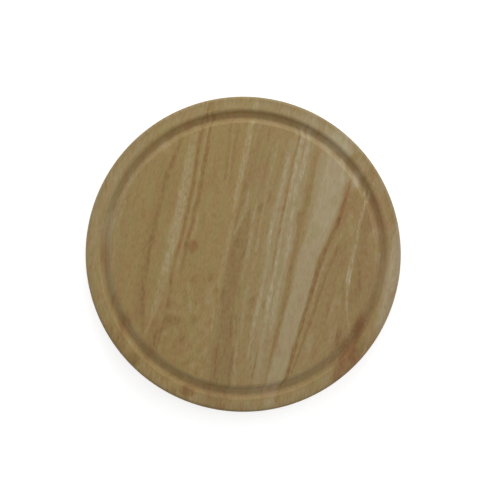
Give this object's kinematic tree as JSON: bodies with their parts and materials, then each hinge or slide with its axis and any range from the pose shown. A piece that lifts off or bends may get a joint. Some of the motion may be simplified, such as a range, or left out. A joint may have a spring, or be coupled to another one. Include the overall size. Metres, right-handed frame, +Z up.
{
  "type": "round cutting board",
  "caption": "Round edge-glued wooden cutting board with softened edges and a juice groove running round inside the rim.",
  "frame": {"origin": "middle of the underside, on the surface that the board lies on", "axes": "+Z up out of the cutting face, +Y along the grain of the staves, +X across them"},
  "size_m": [0.3, 0.3, 0.018],
  "materials": {
    "tan_wood": "sanded and oiled, satin",
    "pale_wood": "sanded and oiled, satin",
    "brown_wood": "sanded and oiled, satin",
    "wood_glue": "cured waterproof wood glue, sanded flush"
  },
  "bodies": {
    "root": {"stave_1": "tan_wood", "stave_2": "tan_wood", "stave_3": "tan_wood", "stave_4": "pale_wood", "stave_5": "pale_wood", "stave_6": "brown_wood", "glue_line_1": "wood_glue", "glue_line_2": "wood_glue", "glue_line_3": "wood_glue", "glue_line_4": "wood_glue", "glue_line_5": "wood_glue"}
  },
  "joints": []
}
